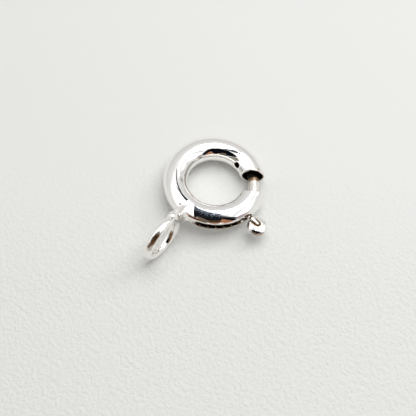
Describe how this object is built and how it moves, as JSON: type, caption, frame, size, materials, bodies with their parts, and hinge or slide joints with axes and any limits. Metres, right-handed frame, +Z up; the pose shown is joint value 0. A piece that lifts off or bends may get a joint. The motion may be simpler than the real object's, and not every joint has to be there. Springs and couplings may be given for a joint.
{
  "type": "spring ring clasp",
  "caption": "Round jewellery clasp of hollow silver tube with an opening, closed by a sprung curved bolt with a knob trigger, and a soldered end loop at a right angle.",
  "frame": {"origin": "on the surface that the clasp rests on, under the middle of its whole outline", "axes": "-X points the way the chain pulls, through the end loop; +Y points to the side away from the trigger; +Z is up from the surface it rests on"},
  "size_m": [0.0092, 0.0072, 0.003],
  "materials": {
    "polished_silver": "mirror-polished sterling silver with faint polishing waves and a little tarnish in the corners",
    "bolt_silver": "drawn silver wire, polished, with fine rub marks along its length",
    "spring_wire": "thin drawn spring wire, slightly bronzed"
  },
  "bodies": {
    "ring": {"ring": "polished_silver", "spring": "spring_wire"},
    "bolt": {"bolt": "bolt_silver", "trigger": "polished_silver"}
  },
  "joints": [
    {"name": "bolt_slide", "type": "hinge", "parent": "ring", "child": "bolt", "pos_m": [0.00164, 0.00062, 0.00097], "axis": [-0.1158, 0, -0.9933], "range_deg": [0, 59.5], "stiffness_Nm_per_rad": 0.003, "springref_deg": -22.92, "deforming": ["spring"]}
  ]
}
